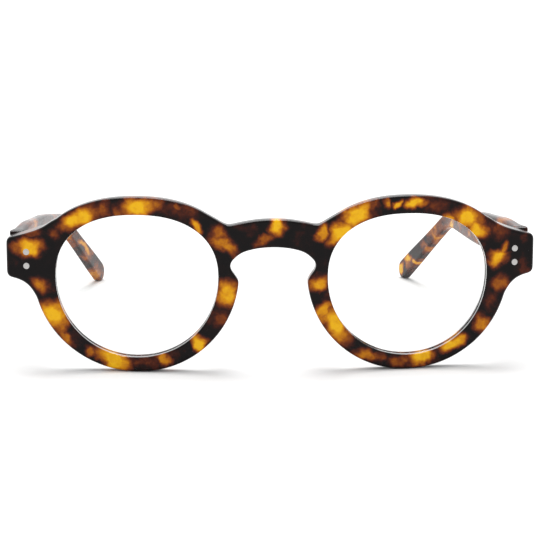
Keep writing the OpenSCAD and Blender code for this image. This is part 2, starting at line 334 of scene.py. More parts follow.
def block(x0, x1, y0, y1, z0, z1, bevel=0.12, seg=2):
    import bmesh
    bm = bmesh.new()
    bmesh.ops.create_cube(bm, size=1)
    for v in bm.verts:
        v.co = Vector(((x0 + x1) / 2 + v.co.x * (x1 - x0), (y0 + y1) / 2 + v.co.y * (y1 - y0), (z0 + z1) / 2 + v.co.z * (z1 - z0)))
    bmesh.ops.bevel(bm, geom=bm.edges[:], offset=bevel, segments=seg, profile=0.5, affect="EDGES")
    s = from_bmesh(bm)
    bm.free()
    return s


def extrude(outline, z0, z1, bevel=0.1):
    """An upright prism on an anticlockwise outline in x and y, with small chamfers."""
    p = np.array(outline, float)
    if area(p) < 0:
        p = p[::-1]
    t = np.roll(p, -1, 0) - np.roll(p, 1, 0)
    n = np.c_[t[:, 1], -t[:, 0]]
    n /= np.linalg.norm(n, axis=1)[:, None]
    s = Shell()
    rows = [(p - n * bevel, z0), (p, z0 + bevel), (p, z1 - bevel), (p - n * bevel, z1)]
    rings = [s.ring(np.c_[q, np.full(len(q), z)]) for q, z in rows]
    z3 = [(0, 0, 1)] * len(p)
    for k in range(3):
        s.strip(rings[k], rings[k + 1], z3, z3)
    s.f.append(tuple(rings[0][::-1])); s.n.append(tuple(z3))
    s.f.append(tuple(rings[3])); s.n.append(tuple(z3))
    return s


def lathe(profile, m=48, bore=False):
    """Turns (r, z) points about Z. The profile runs up the outside; with a bore it closes on itself."""
    s = Shell()
    rings = []
    for r, z in profile:
        if r < 1e-6:
            rings.append(None)
            continue
        rings.append(s.ring([(r * math.cos(2 * math.pi * k / m), r * math.sin(2 * math.pi * k / m), z) for k in range(m)]))
    z3 = [(0, 0, 1)] * m
    n = len(profile)
    for k in range(n if bore else n - 1):
        a, b = rings[k], rings[(k + 1) % n]
        if a is not None and b is not None:
            s.strip(a, b, z3, z3)
        elif a is not None:
            s.fan(a, (0, 0, profile[(k + 1) % n][1]), (0, 0, 1))
        elif b is not None:
            s.fan(b, (0, 0, profile[k][1]), (0, 0, -1), flip=True)
    return s


def moved(s, fn):
    out = Shell()
    v = np.array(s.v, float)
    out.v = [tuple(p) for p in fn(v)]
    out.f, out.n = list(s.f), list(s.n)
    return out


def turned(s, m, t=(0, 0, 0)):
    m, t = np.array(m.to_3x3(), float), np.array(t, float)
    return moved(s, lambda v: v @ m.T + t)


# ------------------------------------------------------------------ outlines
def half_outline():
    rim = lambda t, d=0.0: oval(RIM, t, -d)
    top = spline([(0, 40.6), (4, 40.4), (8, 39.75), (10.9, 39.15), (12.4, 39.25), (14.6, 40.5)], 10)
    end_top = spline([rim(42), (58.3, 39.55), (60.1, 38.35), (62.4, 37.3), (65.2, 36.4)], 10)
    end_low = spline([(67.2, 24.35), (65.3, 23.45), (63.7, 22), rim(-15)], 10)
    key = spline([(9.15, 24.7), (10, 26), (10.95, 27.3), (11.2, 28.4), (10.9, 29.4), (9.8, 30.6),
                  (8, 31.85), (5.2, 32.7), (2.4, 33.1), (0, 33.2)], 8)
    return (top + [rim(t) for t in np.arange(130, 45, -1.0)] + end_top + [(68.2, 35.6)]
            + arc((68.5, 34.15), 1.5, 62, 0, 8) + arc((68.6, 26.1), 1.4, 0, -78, 10) + end_low
            + [rim(t) for t in np.arange(-15, -176, -1.0)] + key + [(0, 33.2)])


half = half_outline()
outline = half + [(-x, z) for x, z in half[-2:0:-1]]
outline = resample(outline, 0.4)
# Two light passes take the kinks out where the curves meet.
for _ in range(3):
    outline = outline + 0.25 * (np.roll(outline, 1, 0) + np.roll(outline, -1, 0) - 2 * outline)
if area(outline) < 0:
    outline = outline[::-1]


def eye_loop(d=0.0, m=300, side=1):
    p = np.array([oval(EYE, 360 * k / m + 0.6, d) for k in range(m)])
    p[:, 0] *= side
    q = resample(p, 0.42)
    for _ in range(2):
        q = q + 0.25 * (np.roll(q, 1, 0) + np.roll(q, -1, 0) - 2 * q)
    return q[::-1] if area(q) > 0 else q           # clockwise


# The temple's middle line.
def slope(s):
    return SLOPE1 + (SLOPE2 - SLOPE1) * smooth((s - BEND + 9) / 18)


def lean(s):
    return LEAN2 * smooth((s - BEND + 12) / 24)


def half_h(s):
    s = np.asarray(s, float)
    return np.where(s < 40, H0 + (H40 - H0) * smooth(s / 40),
                    np.where(s < BEND + 8, H40 + (HB - H40) * smooth((s - 40) / (BEND - 32)),
                             HB + (HT - HB) * smooth((s - BEND - 8) / (TIP_S - BEND - 8)))) / 2


STEP = TIP_S / 240
ms = np.arange(241) * STEP
mid_s = (np.arange(240) + 0.5) * STEP
ML_Y = END_BACK - 2 + np.r_[0, np.cumsum(STEP * np.cos(np.radians(slope(mid_s))))]
ML_Z = np.r_[0, -np.cumsum(STEP * np.sin(np.radians(slope(mid_s))))]
ML_X = np.r_[0, -np.cumsum(STEP * np.sin(np.radians(lean(mid_s))))]
A_ = np.radians(slope(ms))
HU = half_h(ms) - TOP_DIP * (1 - smooth(ms / 22))
TOP = np.c_[ML_Y + HU * np.sin(A_), ML_Z + HU * np.cos(A_)]
LOW = np.c_[ML_Y - half_h(ms) * np.sin(A_), ML_Z - half_h(ms) * np.cos(A_)]
ta = A_[-1]
CAP = np.array([(ML_Y[-1] + HT / 2 * math.sin(ta + math.pi * k / 24), ML_Z[-1] + HT / 2 * math.cos(ta + math.pi * k / 24)) for k in range(1, 24)])
Z_START = -min(LOW[:, 1].min(), CAP[:, 1].min())
Y0 = float(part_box("frame_front")[0].y) * 1000
FRONT_CUT = PIN[1] + (END_BACK + 0.15 - PIN[1]) / math.cos(R(LEAN))


def on_pin(v):
    """From the temple's own frame (x from the pin, y from the pin, z) to the design frame."""
    c, s_ = math.cos(R(LEAN)), math.sin(R(LEAN))
    x, y, z = v[:, 0], v[:, 1], v[:, 2]
    return np.c_[PIN[0] + x * c - y * s_, PIN[1] + x * s_ + y * c, z]


def bent(v):
    """From (y, z, w) on the flat side view of a temple to the design frame."""
    y, z, w = v[:, 0], v[:, 1], v[:, 2]
    xo = np.where(y < ML_Y[-1], np.interp(y, ML_Y, ML_X), ML_X[-1] - (y - ML_Y[-1]) * math.tan(R(LEAN2)))
    thin = 1 + (EAR_T / TEMPLE_T - 1) * smooth((np.interp(y, ML_Y, ms) - 58) / 36)
    x = MID_X + xo + w * thin
    yp = y - PIN[1] - x * math.tan(R(LEAN)) * (1 - smooth((y - FRONT_CUT) / 9))
    return on_pin(np.c_[x, yp, z + Z_START])


# ------------------------------------------------------------------ materials
def new_mat(name):
    m = bpy.data.materials.new(name)
    m.use_nodes = True
    nt = m.node_tree
    nt.nodes.clear()
    out = nt.nodes.new("ShaderNodeOutputMaterial")
    return m, nt, out


class G:
    """Short hands for a node tree."""

    def __init__(self, nt):
        self.nt = nt

    def node(self, kind, **props):
        n = self.nt.nodes.new(kind)
        for k, v in props.items():
            setattr(n, k, v)
        return n

    def put(self, sock, v):
        if isinstance(v, bpy.types.NodeSocket):
            self.nt.links.new(v, sock)
        else:
            sock.default_value = v

    def math(self, op, a, b=None, c=None, clamp=False):
        n = self.node("ShaderNodeMath", operation=op, use_clamp=clamp)
        for i, v in enumerate((a, b, c)):
            if v is not None:
                self.put(n.inputs[i], v)
        return n.outputs[0]

    def vec(self, op, a, b=None, scale=None):
        n = self.node("ShaderNodeVectorMath", operation=op)
        self.put(n.inputs[0], a)
        if b is not None:
            self.put(n.inputs[1], b)
        if scale is not None:
            n.inputs["Scale"].default_value = scale
        return n.outputs["Value" if op in ("LENGTH", "DOT_PRODUCT") else "Vector"]

    def noise(self, vec, scale, detail=2.0, rough=0.5, distort=0.0):
        n = self.node("ShaderNodeTexNoise")
        self.put(n.inputs["Vector"], vec)
        n.inputs["Scale"].default_value = scale
        n.inputs["Detail"].default_value = detail
        n.inputs["Roughness"].default_value = rough
        n.inputs["Distortion"].default_value = distort
        return n

    def range(self, v, a, b, c, d, mode="LINEAR"):
        n = self.node("ShaderNodeMapRange", interpolation_type=mode, clamp=True)
        self.put(n.inputs["Value"], v)
        for k, x in zip(("From Min", "From Max", "To Min", "To Max"), (a, b, c, d)):
            n.inputs[k].default_value = x
        return n.outputs["Result"]

    def ramp(self, v, stops, mode="LINEAR"):
        n = self.node("ShaderNodeValToRGB")
        self.put(n.inputs[0], v)
        cr = n.color_ramp
        cr.interpolation = mode
        while len(cr.elements) < len(stops):
            cr.elements.new(0.5)
        for e, (pos, col) in zip(cr.elements, stops):
            e.position = pos
            e.color = (*col, 1)
        return n.outputs["Color"]

    def mm(self, offset=(0, 0, 0)):
        """The object's own coordinates, in millimetres."""
        tc = self.node("ShaderNodeTexCoord")
        v = self.vec("SCALE", tc.outputs["Object"], scale=1000.0)
        if any(offset):
            v = self.vec("ADD", v, offset)
        return v

    def bump(self, h, strength, dist, normal=None):
        n = self.node("ShaderNodeBump")
        n.inputs["Strength"].default_value = strength
        n.inputs["Distance"].default_value = dist
        self.put(n.inputs["Height"], h)
        if normal is not None:
            self.put(n.inputs["Normal"], normal)
        return n.outputs["Normal"]


SHADES = [(0.00, (0.0026, 0.0016, 0.0018)), (0.13, (0.0050, 0.0022, 0.0022)), (0.24, (0.022, 0.0042, 0.0028)),
          (0.36, (0.068, 0.0115, 0.0035)), (0.48, (0.155, 0.032, 0.0035)), (0.61, (0.290, 0.078, 0.0030)),
          (0.72, (0.445, 0.152, 0.0030)), (0.86, (0.600, 0.250, 0.0030)), (1.00, (0.740, 0.400, 0.0070))]



WALL_GLOSS = 0.5
STRETCH = 0.6                           # the temples' pattern is drawn out along the arm


def tortoise(name, blobs, axis, ground, seed, gloss=0.12, rough=(0.10, 0.19)):
    """Tortoiseshell acetate. blobs are patches (a, z, half width, half
    height, tilt, tone), where a is x for the front and y for a temple; tone runs from
    -1, black, to 1, bright amber. ground(g, v) is the tone between the patches."""
    m, nt, out = new_mat(name)
    g = G(nt)
    v = g.mm()
    # Wisps: the patches' edges are drawn out by two sizes of noise.
    vs = g.vec("ADD", v, (seed * 31.7, seed * 17.3, seed * 7.9))
    if axis == "y":
        vs = g.vec("MULTIPLY", vs, (1.0, STRETCH, 1.0))
    n1 = g.noise(vs, 0.17, 2.0, 0.5)
    n2 = g.noise(vs, 0.62, 2.5, 0.55)
    w1 = g.vec("SCALE", g.vec("SUBTRACT", n1.outputs["Color"], (0.5, 0.5, 0.5)), scale=5.5)
    w2 = g.vec("SCALE", g.vec("SUBTRACT", n2.outputs["Color"], (0.5, 0.5, 0.5)), scale=1.5)
    w = g.vec("ADD", v, g.vec("ADD", w1, w2))
    tone = ground(g, w if axis == "x" else g.vec("MULTIPLY", w, (1.0, STRETCH, 1.0)))
    for a, z, ra, rz, tilt, amp in blobs:
        mp = g.node("ShaderNodeMapping", vector_type="TEXTURE")
        g.put(mp.inputs["Vector"], w)
        if axis == "x":
            mp.inputs["Location"].default_value = (a, 0, z)
            mp.inputs["Rotation"].default_value = (0, -R(tilt), 0)
            mp.inputs["Scale"].default_value = (ra, 400, rz)
        else:
            mp.inputs["Location"].default_value = (0, a, z)
            mp.inputs["Rotation"].default_value = (R(tilt), 0, 0)
            mp.inputs["Scale"].default_value = (400, ra, rz)
        d = g.vec("LENGTH", mp.outputs[0])
        tone = g.math("MAXIMUM", tone, g.range(d, 0.5, 1.62, amp, -1.0))
    # Streaks and clouds inside the colours.
    n3 = g.noise(vs, 0.45, 3.0, 0.6, 0.2)
    n4 = g.noise(vs, 1.9, 3.0, 0.6, 0.3)
    tone = g.math("MULTIPLY_ADD", g.math("SUBTRACT", n3.outputs["Fac"], 0.5), 0.85, tone)
    tone = g.math("MULTIPLY_ADD", g.math("SUBTRACT", n4.outputs["Fac"], 0.5), 0.22, tone)
    col = g.ramp(g.math("MULTIPLY_ADD", tone, 0.5, 0.5, clamp=True), SHADES)
    b = g.node("ShaderNodeBsdfPrincipled")
    g.put(b.inputs["Base Color"], col)
    # A hand-polished surface: a faint long wave, and finer polishing marks.
    pol = g.noise(vs, 0.9, 2.0, 0.5)
    fine = g.noise(vs, 14.0, 2.0, 0.6)
    g.put(b.inputs["Roughness"], g.range(pol.outputs["Fac"], 0.3, 0.7, rough[0], rough[1]))
    nn = g.bump(pol.outputs["Fac"], 0.10, 0.0002)
    nn = g.bump(fine.outputs["Fac"], 0.04, 0.00003, nn)
    g.put(b.inputs["Normal"], nn)
    b.inputs["IOR"].default_value = 1.49
    nrm = g.node("ShaderNodeSeparateXYZ")
    g.put(nrm.inputs[0], g.node("ShaderNodeTexCoord").outputs["Normal"])
    if axis == "x":
        # The walls shine more than the front's face, and the openings' walls the most.
        flat = g.math("ABSOLUTE", nrm.outputs["Y"])
        g.put(b.inputs["Specular IOR Level"], g.range(flat, 0.25, 0.85, WALL_GLOSS, gloss))
        at = g.node("ShaderNodeSeparateXYZ")
        g.put(at.inputs[0], v)
        ex = g.math("DIVIDE", g.math("SUBTRACT", g.math("ABSOLUTE", at.outputs["X"]), 35.7), 21.3)
        ez = g.math("DIVIDE", g.math("SUBTRACT", at.outputs["Z"], 22.85), 18.85)
        away = g.math("SQRT", g.math("ADD", g.math("MULTIPLY", ex, ex), g.math("MULTIPLY", ez, ez)))
        g.put(b.inputs["Coat Weight"], g.math("MULTIPLY", g.range(flat, 0.3, 0.7, 1.0, 0.0), g.range(away, 1.06, 1.10, 1.0, 0.0)))
        b.inputs["Coat IOR"].default_value = 2.0
        b.inputs["Coat Roughness"].default_value = 0.08
    else:
        g.put(b.inputs["Specular IOR Level"], g.range(nrm.outputs["Z"], 0.4, 0.9, gloss, 0.5))
    nt.links.new(b.outputs[0], out.inputs["Surface"])
    return m


def metal(name, colour, rough, scratch=0.35, dark=0.75):
    m, nt, out = new_mat(name)
    g = G(nt)
    v = g.mm()
    n1 = g.noise(v, 1.6, 3.0, 0.6)
    n2 = g.noise(g.vec("MULTIPLY", v, (3.0, 3.0, 26.0)), 1.0, 2.0, 0.6)
    n3 = g.noise(v, 9.0, 3.0, 0.65)
    worn = g.ramp(n3.outputs["Fac"], [(0.30, tuple(c * dark for c in colour)), (0.62, colour)])
    b = g.node("ShaderNodeBsdfPrincipled")
    g.put(b.inputs["Base Color"], worn)
    b.inputs["Metallic"].default_value = 1.0
    g.put(b.inputs["Roughness"], g.range(n1.outputs["Fac"], 0.3, 0.7, rough * 0.75, rough * 1.3))
    nn = g.bump(n2.outputs["Fac"], scratch, 0.00002)
    nn = g.bump(n3.outputs["Fac"], scratch * 0.5, 0.00003, nn)
    g.put(b.inputs["Normal"], nn)
    nt.links.new(b.outputs[0], out.inputs["Surface"])
    return m


def rivet_metal(name):
    m, nt, out = new_mat(name)
    g = G(nt)
    v = g.mm()
    n1 = g.noise(v, 5.0, 3.0, 0.6)
    n2 = g.noise(g.vec("MULTIPLY", v, (26.0, 2.0, 3.0)), 1.0, 2.0, 0.6)
    b = g.node("ShaderNodeBsdfPrincipled")
    g.put(b.inputs["Base Color"], g.ramp(n1.outputs["Fac"], [(0.3, (0.38, 0.37, 0.36)), (0.7, (0.50, 0.49, 0.48))]))
    b.inputs["Metallic"].default_value = 1.0
    g.put(b.inputs["Roughness"], g.range(n1.outputs["Fac"], 0.3, 0.7, 0.28, 0.42))
    g.put(b.inputs["Normal"], g.bump(n2.outputs["Fac"], 0.35, 0.00002))
    nt.links.new(b.outputs[0], out.inputs["Surface"])
    return m


def lens_glass(name):
    m, nt, out = new_mat(name)
    g = G(nt)
    fr = g.node("ShaderNodeFresnel")
    fr.inputs["IOR"].default_value = 1.5
    v = g.mm()
    n = g.noise(v, 0.25, 2.0, 0.5)
    tr = g.node("ShaderNodeBsdfTransparent")
    g.put(tr.inputs["Color"], g.ramp(n.outputs["Fac"], [(0.3, (0.985, 0.992, 0.988)), (0.7, (0.992, 0.995, 0.992))]))
    gl = g.node("ShaderNodeBsdfGlossy")
    gl.inputs["Color"].default_value = (1, 1, 1, 1)
    gl.inputs["Roughness"].default_value = 0.015
    g.put(gl.inputs["Normal"], g.bump(n.outputs["Fac"], 0.02, 0.0001))
    mix = g.node("ShaderNodeMixShader")
    g.put(mix.inputs[0], g.math("MULTIPLY", fr.outputs[0], 0.4))
    nt.links.new(tr.outputs[0], mix.inputs[1])
    nt.links.new(gl.outputs[0], mix.inputs[2])
    nt.links.new(mix.outputs[0], out.inputs["Surface"])
    return m


# Patches on the front: x, z, half width, half height, tilt, tone.
FRONT_PATCHES = [
    # left rim, from its top round to the end piece
    (-35, 44, 4.6, 2.5, 5, 1), (-41, 43, 1.6, 1.6, 0, -0.05), (-24.5, 43, 5.4, 2.6, -8, -0.3),
    (-25, 43.5, 1.4, 1.4, 0, 0.1), (-20, 38.8, 2.2, 1.2, -45, 0.75), (-14, 37.2, 1.8, 2.6, 20, 0.3),
    (-12.5, 33.8, 3.6, 1.8, -37, 0.4), (-12, 21, 3, 3.2, 0, 0.88), (-13.5, 14, 2.8, 2.6, 0, -0.15),
    (-20, 8.5, 1.8, 2.5, 10, 1), (-28, 3.5, 2, 2, 10, 0.55), (-34, 2.5, 4.6, 2, -8, -0.25),
    (-42, 3.2, 4.6, 2.2, -27, 1), (-47.5, 4.5, 1.8, 1.4, -30, 0.25), (-54, 9.5, 3.2, 1.8, -50, 0.3),
    (-57.3, 15, 4.2, 3.2, -45, 1), (-60.5, 23.5, 2.8, 1.8, -20, 0.3), (-64.2, 33, 3.6, 2.3, 0, 0.85),
    (-63.5, 37, 3.6, 1.4, 0, -0.15), (-57, 37, 1.4, 2, 0, -0.1), (-50.5, 41, 5.2, 2.5, 22, 0.97),
    (-44.5, 43.5, 2, 2.2, 0, 0.05),
    # bridge
    (1.5, 39, 2.2, 2, 0, 0.95), (-2, 35.5, 3.2, 1.2, 38, 0.15), (12.5, 37, 1.7, 1.9, 5, 0.6), (15.5, 34.5, 1, 2, 20, -0.1),
    # right rim, from its nose side over the top and round
    (22, 41.8, 4.4, 2.8, 30, 1), (17.4, 37.3, 3.8, 2.2, 52, 1), (26.5, 43, 1.2, 2.4, 0, 0), (29.5, 44.5, 1.3, 1.3, 0, 0.35),
    (32.5, 44.5, 1.3, 1, 0, 0.8), (37.5, 44, 2.6, 1.5, 0, 0.95), (42.5, 43, 2.8, 2, 0, -0.3),
    (46.5, 41, 1.5, 1.6, -20, 0.6), (51.5, 40.3, 3.8, 3, -15, 1), (53.8, 36.3, 2.4, 2.9, -40, 0.87),
    (59.5, 37, 3.4, 2.6, 0, -0.15), (60, 29, 2.9, 1.9, 0, 0.85), (61.5, 31.5, 1.3, 2.4, 0, 0.4),
    (67, 26.5, 1.5, 2.5, 0, -0.35), (67.5, 35, 1.5, 1.5, 0, -0.45), (60.5, 22.5, 2.5, 2.4, 0, 0.15),
    (59, 17.5, 2, 2.8, 0, -0.35), (56, 12, 2.6, 2.2, -40, 0.4), (48, 6.6, 3.8, 1.9, 28, 0.97),
    (39.5, 3.1, 3, 1.9, 12, 0.93), (33.5, 2.5, 3.8, 1.6, 0, 0.1), (25, 4, 4.2, 1.8, -10, 0.35),
    (16.5, 12, 4.8, 2.9, -50, 0.97), (13.8, 16, 2.2, 2.2, -50, 0.6), (11.5, 24, 2.9, 2.2, 0, 0.72),
]
# Patches on the temples: y, z, half length, half height, tilt, tone.
LEFT_PATCHES = [(24, 22, 4, 1.6, -10, 1.0), (30, 19.5, 3, 1.0, -30, 0.7), (50, 15, 8, 1.5, -28, 0.75), (52, 12.5, 2.5, 1.4, -25, 0.1),
                (71.8, 5.0, 1.6, 1.1, 0, 1.0), (62, 7.5, 3, 1.5, -20, -0.3)]
RIGHT_PATCHES = [(23, 25, 3.5, 1.6, -10, 1.0), (36, 19, 3, 1.4, -30, 0.8), (47, 13, 3.5, 1.2, -30, 0.3),
                 (63, 7.5, 3.5, 1.6, -20, 1.0), (69, 3.5, 2.5, 1.6, -20, 1.0), (58, 7, 2, 1.2, 0, 0.8)]


def dark_ground(g, v):
    return g.range(g.noise(v, 0.11, 2.0, 0.5).outputs["Fac"], 0.48, 0.74, -1.0, -0.28)


def mixed_ground(g, v):
    n = g.noise(v, 0.16, 2.0, 0.5, 0.1)
    return g.range(n.outputs["Fac"], 0.38, 0.70, -0.72, 0.42)


mat_front = tortoise("tortoise_acetate_front", FRONT_PATCHES, "x", dark_ground, 1)
mat_tl = tortoise("tortoise_acetate_temple_left", LEFT_PATCHES, "y", mixed_ground, 2, 0.07, (0.14, 0.24))
mat_tr = tortoise("tortoise_acetate_temple_right", RIGHT_PATCHES, "y", mixed_ground, 3, 0.07, (0.14, 0.24))
mat_pad = tortoise("tortoise_acetate_pads", [], "x", mixed_ground, 4)
mat_lens = lens_glass("lens_clear")
mat_nickel = metal("hinge_nickel", (0.72, 0.69, 0.64), 0.24)
mat_screw = metal("screw_steel", (0.62, 0.60, 0.57), 0.20)
mat_core = metal("core_steel", (0.50, 0.48, 0.46), 0.35)
mat_rivet = rivet_metal("rivet_nickel")

# ------------------------------------------------------------------ the front


def front_y(x, z):
    return WRAP - np.sqrt(WRAP ** 2 - x ** 2)


def back_y(x, z):
    b = WRAP - np.sqrt((WRAP - THICK) ** 2 - x ** 2)
    k = smooth((np.abs(x) - 59.4) / 2.4) * smooth((z - 21.8) / 2.6)
    return b + (END_BACK - b) * k


def lens_depth(x, z, vertex, r):
    """The y of a lens face at x, z: a sphere whose axis leans with the wrap."""
    a = math.asin(EYE["c"][0] / WRAP)
    cx, cy, cz = (WRAP + vertex - r) * math.sin(a), WRAP - (WRAP + vertex - r) * math.cos(a), EYE["c"][1] - 2.35
    ax = np.abs(x)
    return cy - np.sqrt(r * r - (ax - cx) ** 2 - (z - cz) ** 2)


def groove(li, p):
    if li == 0:
        return None
    g0 = lens_depth(p[:, 0], p[:, 1], LENS_SINK, LENS_R1) - 0.05
    g1 = lens_depth(p[:, 0], p[:, 1], LENS_SINK - LENS_MID, LENS_R2) + 0.05
    return g0, g1, 0.9


loops = [outline, eye_loop(side=-1), eye_loop(side=1)]
front_shell = plate(loops, front_y, back_y, [0.75, 0.45, 0.45], [0.75, 0.5, 0.5], 1.3, walls=5, fillet=5, groove=groove)
front = front_shell.mapped(lambda v: np.c_[v[:, 0], v[:, 2], v[:, 1]]).make("front_acetate", mat_front)
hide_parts("frame_front")
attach(front, "front")


# ------------------------------------------------------------------ the lenses
def lens_shell():
    m = 180
    base = np.array([oval(EYE, 360 * k / m + 0.5) for k in range(m)])
    tip = np.array([oval(EYE, 360 * k / m + 0.5, 0.78) for k in range(m)])
    c = np.array([EYE["c"][0] - 0.1, EYE["c"][1] - 2.35])
    s = Shell()

    def face(vertex, r, sign):
        rings = []
        for k in range(1, 19):
            q = c + (base - c) * (k / 18)
            y = lens_depth(q[:, 0], q[:, 1], vertex, r)
            rings.append((s.ring(np.c_[q, y]), np.c_[q, y]))
        return rings

    def nrm(P, vertex, r, sign):
        a = math.asin(EYE["c"][0] / WRAP)
        o = np.array([(WRAP + vertex - r) * math.sin(a), EYE["c"][1] - 2.35, WRAP - (WRAP + vertex - r) * math.cos(a)])
        n = (P - o) * sign
        return n / np.linalg.norm(n, axis=1)[:, None]

    ends = []
    for vertex, r, sign in ((LENS_SINK, LENS_R1, 1), (LENS_SINK - LENS_MID, LENS_R2, -1)):
        rings = face(vertex, r, sign)
        for (i0, P0), (i1, P1) in zip(rings, rings[1:]):
            n0, n1 = nrm(P0, vertex, r, sign), nrm(P1, vertex, r, sign)
            if sign > 0:
                s.strip(i0, i1, n0, n1)
            else:
                s.strip(i1, i0, n1, n0)
        yc = float(lens_depth(np.array([c[0]]), np.array([c[1]]), vertex, r)[0])
        i = len(s.v)
        s.v.append((c[0], c[1], yc))
        i0, P0 = rings[0]
        n0 = nrm(P0, vertex, r, sign)
        nc = nrm(np.array([[c[0], c[1], yc]]), vertex, r, sign)[0]
        for k in range(m):
            j = (k + 1) % m
            t = (i, i0[j], i0[k]) if sign > 0 else (i, i0[k], i0[j])
            n = (nc, n0[j], n0[k]) if sign > 0 else (nc, n0[k], n0[j])
            s.face(t, n)
        ends.append(rings[-1])
    # The bevelled edge that sits in the groove.
    (f0, P0), (b0, P1) = ends
    d = tip - base
    d3 = np.c_[d / np.linalg.norm(d, axis=1)[:, None], np.zeros(m)]
    nf = d3 * 0.5 + np.array([0, 0, -0.85])
    nb = d3 * 0.5 + np.array([0, 0, 0.85])
    t0 = s.ring(np.c_[tip, P0[:, 2] * 0.6 + P1[:, 2] * 0.4])
    t1 = s.ring(np.c_[tip, P0[:, 2] * 0.4 + P1[:, 2] * 0.6])
    s.strip(f0, t0, nf, nf)
    s.strip(t0, t1, d3, d3)
    s.strip(t1, b0, nb, nb)
    return s.mapped(lambda v: np.c_[v[:, 0], v[:, 2], v[:, 1]])


ls = lens_shell()
for side, word in ((-1, "left"), (1, "right")):
    o = ls.make("lens_glass_" + word, mat_lens, side)
    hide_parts("lens_" + word)
    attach(o, "front")


# ------------------------------------------------------------------ nose pads
def pad_shell():
    m, k1 = 48, 40
    s = Shell()
    rings, pts = [], []
    for i in range(k1 + 1):
        v = i / k1
        t = 186.6 + (221.6 - 186.6) * v
        e = abs(2 * v - 1)
        k = (1 - e ** 3.2) ** 0.5 if e < 1 else 0.0
        k = max(k, 0.04)
        mid, hw = 1.55, 1.32 * (0.35 + 0.65 * k)
        H = 4.4 * k ** 1.15
        row = []
        for j in range(m):
            a = 2 * math.pi * j / m
            ca, sa = math.cos(a), math.sin(a)
            w = mid + hw * sgn(ca) * abs(ca) ** 0.85
            p = oval(RIM, t, -w)
            yb = float(back_y(np.array([p[0]]), np.array([p[1]]))[0])
            up = sa if sa > 0 else sa * 0.12
            # The crest leans towards the lens, as a nose-shaped pad does.
            w2 = w + (0.55 * max(sa, 0) * (H / 4.4))
            p = oval(RIM, t, -w2)
            row.append((p[0], yb - 0.02 + H * (sgn(up) * abs(up) ** 0.8 if up > 0 else up), p[1]))
        rings.append(s.ring(row))
        pts.append(np.array(row))
    z3 = [(0, 0, 1)] * m
    for a, b in zip(rings, rings[1:]):
        s.strip(a, b, z3, z3)
    s.fan(rings[0], pts[0].mean(0), (0, 0, 1), flip=True)
    s.fan(rings[-1], pts[-1].mean(0), (0, 0, -1))
    return s


ps = pad_shell()
for side, word in ((-1, "left"), (1, "right")):
    o = ps.make("nose_pad_acetate_" + word, mat_pad, side, custom=False)
    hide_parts("nose_pad_" + word)
    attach(o, "front")

# ------------------------------------------------------------------ the temples
side_pts = [tuple(p) for p in TOP if p[0] > FRONT_CUT + 0.5]
side_pts += [tuple(p) for p in CAP]
side_pts += [tuple(p) for p in LOW[::-1] if p[0] > FRONT_CUT + 0.5]
zt, zl = TOP[np.searchsorted(TOP[:, 0], FRONT_CUT + 0.5)][1], LOW[np.searchsorted(LOW[:, 0], FRONT_CUT + 0.5)][1]
c = 0.45
side_pts += arc((FRONT_CUT + c, zl + c), c, 270, 180, 5) + arc((FRONT_CUT + c, zt - c), c, 180, 90, 5)
side_loop = resample(side_pts, 0.5)
for _ in range(2):
    side_loop = side_loop + 0.25 * (np.roll(side_loop, 1, 0) + np.roll(side_loop, -1, 0) - 2 * side_loop)
if area(side_loop) < 0:
    side_loop = side_loop[::-1]
near = smooth((side_loop[:, 0] - FRONT_CUT) / 7)
ear = smooth((side_loop[:, 0] - 60) / 40)
temple_shell = plate([side_loop], lambda a, b: -1.8 + 0 * a, lambda a, b: 1.8 + 0 * a,
                     [0.28 + (1.15 - 0.28) * near - 0.3 * ear], [0.28 + (1.35 - 0.28) * near - 0.4 * ear], 1.3, walls=4, fillet=6)
for side, word, mat in ((-1, "left", mat_tl), (1, "right", mat_tr)):
    o = temple_shell.mapped(bent).make("temple_acetate_" + word, mat, side)
    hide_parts("temple_" + word)
    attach(o, "temple_" + word)


# ------------------------------------------------------------------ hinges, screws and rivets
def knuckle(h, bore):
    c_ = 0.14
    return lathe([(bore, -h / 2), (1.6 - c_, -h / 2), (1.6 - c_ * 0.3, -h / 2 + c_ * 0.3), (1.6, -h / 2 + c_), (1.6, h / 2 - c_),
                  (1.6 - c_ * 0.3, h / 2 - c_ * 0.3), (1.6 - c_, h / 2), (bore, h / 2)], 48, bore=True)


fh = Shell()
fh.merge(block(61.55, 65.75, 12.55, 13.60, PIN[2] - 3.25, PIN[2] + 3.25, 0.22, 3))
for i in (-2, 0, 2):
    z = PIN[2] + i * 1.2
    fh.merge(turned(knuckle(1.16, 0.72), Matrix.Identity(3), (PIN[0], PIN[1], z)))
    fh.merge(block(62.0, 64.35, 13.1, 15.2, z - 0.56, z + 0.56, 0.1, 2))
th = Shell()
leaf = [(1.7, -1.2), (3.0, -1.2), (3.0, 9.8), (1.7, 9.8)]
leaf_side = arc((7.0, PIN[2] - 0.6), 2.7, -90, 0, 10) + arc((7.0, PIN[2] + 0.6), 2.7, 0, 90, 10) \
    + arc((-0.4, PIN[2] + 2.5), 0.8, 90, 180, 5) + arc((-0.4, PIN[2] - 2.5), 0.8, 180, 270, 5)
lf = extrude(leaf_side, 1.7, 2.95, 0.14)
lf = moved(lf, lambda v: np.c_[v[:, 2], v[:, 0], v[:, 1]])
th.merge(lf)
for i in (-1, 1):
    z = PIN[2] + i * 1.2
    th.merge(turned(knuckle(1.1, 0.75), Matrix.Identity(3), (0, 0, z)))
    th.merge(block(0.0, 2.2, -0.85, 0.85, z - 0.53, z + 0.53, 0.1, 2))
